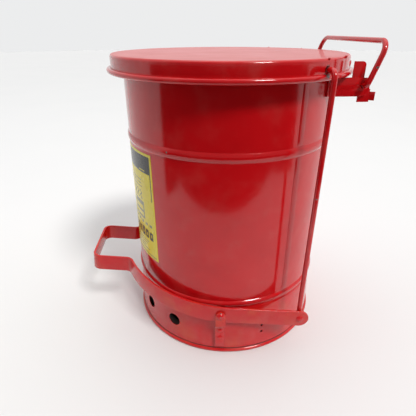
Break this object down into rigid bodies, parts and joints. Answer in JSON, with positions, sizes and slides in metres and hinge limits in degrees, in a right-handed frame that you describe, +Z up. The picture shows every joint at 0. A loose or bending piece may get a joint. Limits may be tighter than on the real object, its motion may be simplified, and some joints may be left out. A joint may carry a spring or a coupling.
{
  "type": "oily waste can",
  "caption": "Round steel safety can for oily waste: a flat overlapping lid that a foot loop opens through side rods, raised vented base, rear bail handle.",
  "frame": {"origin": "on the can's axis, in the plane that the base hem stands on", "axes": "+Z up along the can's axis, -Y towards the foot pedal, +Y towards the lid hinge, +X along the pedal's and the hinge's pivots"},
  "size_m": [0.3258, 0.3862, 0.4222],
  "materials": {
    "red_paint": "gloss",
    "label_vinyl": "satin",
    "zinc_steel": "satin"
  },
  "bodies": {
    "can": {"body_shell": "red_paint", "base_ring": "red_paint", "bottom_plate": "red_paint", "front_label": "label_vinyl", "left_hinge_ear": "red_paint", "left_ear_rivets": "red_paint", "left_pivot_bracket": "red_paint", "left_bracket_rivets": "red_paint", "left_pivot_rivet": "red_paint", "left_pivot_washer": "zinc_steel", "right_hinge_ear": "red_paint", "right_ear_rivets": "red_paint", "right_pivot_bracket": "red_paint", "right_bracket_rivets": "red_paint", "right_pivot_rivet": "red_paint", "right_pivot_washer": "zinc_steel"},
    "pedal": {"pedal_yoke": "red_paint", "left_rod_pin": "red_paint", "right_rod_pin": "red_paint"},
    "lid": {"lid_pan": "red_paint", "lid_hinge_leaf": "red_paint", "leaf_rivets": "red_paint"},
    "bail": {"bail_handle": "red_paint"},
    "left_rod": {"left_link_rod": "red_paint"},
    "right_rod": {"right_link_rod": "red_paint"}
  },
  "joints": [
    {"name": "pedal_press", "type": "hinge", "parent": "can", "child": "pedal", "pos_m": [0, -0.0195, 0.0785], "axis": [1, 0, 0], "range_deg": [0, 20.83]},
    {"name": "lid_open", "type": "hinge", "parent": "can", "child": "lid", "pos_m": [0, 0.1506, 0.3716], "axis": [-1, 0, 0], "range_deg": [0, 55.1]},
    {"name": "left_rod_swing", "type": "hinge", "parent": "lid", "child": "left_rod", "pos_m": [-0.1466, 0.0947, 0.392], "axis": [-1, 0, 0], "range_deg": [-47.5, 0]},
    {"name": "right_rod_swing", "type": "hinge", "parent": "lid", "child": "right_rod", "pos_m": [0.1466, 0.0947, 0.392], "axis": [-1, 0, 0], "range_deg": [-47.5, 0]},
    {"name": "bail_swing", "type": "hinge", "parent": "can", "child": "bail", "pos_m": [0, 0.1506, 0.3716], "axis": [-1, 0, 0], "range_deg": [0, 161]}
  ],
  "couplings": [
    {"joint": "lid_open", "follows": "pedal_press", "ratio": 2.6404},
    {"joint": "left_rod_swing", "follows": "pedal_press", "ratio": -2.2722},
    {"joint": "right_rod_swing", "follows": "pedal_press", "ratio": -2.2722}
  ]
}
